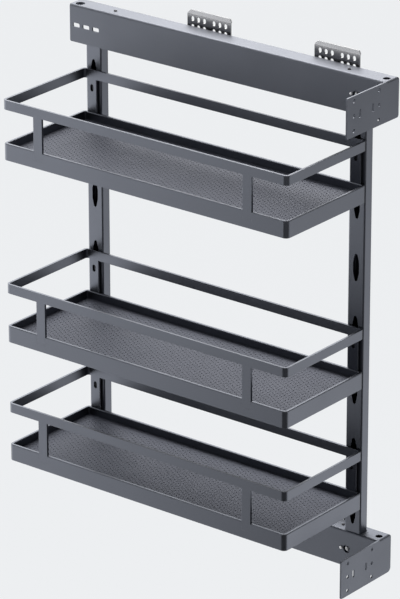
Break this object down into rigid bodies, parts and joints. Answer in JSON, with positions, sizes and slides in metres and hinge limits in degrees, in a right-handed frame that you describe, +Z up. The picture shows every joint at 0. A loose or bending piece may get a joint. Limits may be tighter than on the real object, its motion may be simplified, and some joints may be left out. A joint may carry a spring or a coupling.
{
  "type": "pull-out side basket",
  "caption": "Pull-out side basket unit: sheet-metal baskets with guard rails hung on slotted uprights, running out of a narrow cabinet on side-mounted ball-bearing slides.",
  "frame": {"origin": "on the cabinet's side wall, half way between the upper slot of the front column in the top front bracket and that in the bottom front bracket", "axes": "+X is the way the baskets pull out, towards the door; +Y points into the cabinet's side wall that the slides are screwed to; +Z is up"},
  "size_m": [0.4992, 0.1942, 0.6856],
  "materials": {
    "anthracite_powder_coat": "satin",
    "zinc_steel": "satin",
    "ball_steel": "polished",
    "bright_screw": "polished",
    "dark_screw": "satin",
    "dark_stud": "satin",
    "black_rubber": "matte"
  },
  "bodies": {
    "wall_side": {"top_rear_wall_bracket": "zinc_steel", "top_front_wall_bracket": "zinc_steel", "bottom_rear_wall_bracket": "zinc_steel", "bottom_front_wall_bracket": "zinc_steel", "wall_bracket_rivets": "zinc_steel", "top_cabinet_member": "zinc_steel", "bottom_cabinet_member": "zinc_steel", "top_rear_bumper": "black_rubber", "bottom_rear_bumper": "black_rubber"},
    "carriage": {"top_housing": "anthracite_powder_coat", "bottom_housing": "anthracite_powder_coat", "rear_upright": "anthracite_powder_coat", "front_upright": "anthracite_powder_coat", "top_rear_hanger": "anthracite_powder_coat", "top_front_hanger": "anthracite_powder_coat", "bottom_rear_hanger": "anthracite_powder_coat", "bottom_front_hanger": "anthracite_powder_coat", "top_drawer_member": "zinc_steel", "bottom_drawer_member": "zinc_steel", "flange_screws": "dark_screw", "face_screws": "bright_screw", "slide_screws": "bright_screw", "slide_rivets": "zinc_steel"},
    "top_middle_slide": {"top_middle_member": "zinc_steel"},
    "top_outer_ball_cage": {"top_outer_cage": "zinc_steel", "top_outer_balls": "ball_steel"},
    "top_inner_ball_cage": {"top_inner_cage": "zinc_steel", "top_inner_balls": "ball_steel"},
    "bottom_middle_slide": {"bottom_middle_member": "zinc_steel"},
    "bottom_outer_ball_cage": {"bottom_outer_cage": "zinc_steel", "bottom_outer_balls": "ball_steel"},
    "bottom_inner_ball_cage": {"bottom_inner_cage": "zinc_steel", "bottom_inner_balls": "ball_steel"},
    "top_basket": {"top_tray_frame": "anthracite_powder_coat", "top_tray_floor": "anthracite_powder_coat", "top_guard_rail": "anthracite_powder_coat", "top_hook_studs": "dark_stud"},
    "middle_basket": {"middle_tray_frame": "anthracite_powder_coat", "middle_tray_floor": "anthracite_powder_coat", "middle_guard_rail": "anthracite_powder_coat", "middle_hook_studs": "dark_stud"},
    "bottom_basket": {"bottom_tray_frame": "anthracite_powder_coat", "bottom_tray_floor": "anthracite_powder_coat", "bottom_guard_rail": "anthracite_powder_coat", "bottom_hook_studs": "dark_stud"}
  },
  "joints": [
    {"name": "pull_out", "type": "slide", "parent": "wall_side", "child": "carriage", "axis": [1, 0, 0], "range_m": [0, 0.44]},
    {"name": "top_middle_slide_run", "type": "slide", "parent": "wall_side", "child": "top_middle_slide", "axis": [1, 0, 0], "range_m": [0, 0.22]},
    {"name": "top_outer_ball_cage_run", "type": "slide", "parent": "wall_side", "child": "top_outer_ball_cage", "axis": [1, 0, 0], "range_m": [0, 0.11]},
    {"name": "top_inner_ball_cage_run", "type": "slide", "parent": "wall_side", "child": "top_inner_ball_cage", "axis": [1, 0, 0], "range_m": [0, 0.33]},
    {"name": "bottom_middle_slide_run", "type": "slide", "parent": "wall_side", "child": "bottom_middle_slide", "axis": [1, 0, 0], "range_m": [0, 0.22]},
    {"name": "bottom_outer_ball_cage_run", "type": "slide", "parent": "wall_side", "child": "bottom_outer_ball_cage", "axis": [1, 0, 0], "range_m": [0, 0.11]},
    {"name": "bottom_inner_ball_cage_run", "type": "slide", "parent": "wall_side", "child": "bottom_inner_ball_cage", "axis": [1, 0, 0], "range_m": [0, 0.33]},
    {"name": "top_basket_lift", "type": "slide", "parent": "carriage", "child": "top_basket", "axis": [0, 0, 1], "range_m": [0, 0.012]},
    {"name": "middle_basket_lift", "type": "slide", "parent": "carriage", "child": "middle_basket", "axis": [0, 0, 1], "range_m": [0, 0.012]},
    {"name": "bottom_basket_lift", "type": "slide", "parent": "carriage", "child": "bottom_basket", "axis": [0, 0, 1], "range_m": [0, 0.012]}
  ],
  "couplings": [
    {"joint": "top_middle_slide_run", "follows": "pull_out", "ratio": 0.5},
    {"joint": "top_outer_ball_cage_run", "follows": "pull_out", "ratio": 0.25},
    {"joint": "top_inner_ball_cage_run", "follows": "pull_out", "ratio": 0.75},
    {"joint": "bottom_middle_slide_run", "follows": "pull_out", "ratio": 0.5},
    {"joint": "bottom_outer_ball_cage_run", "follows": "pull_out", "ratio": 0.25},
    {"joint": "bottom_inner_ball_cage_run", "follows": "pull_out", "ratio": 0.75}
  ]
}
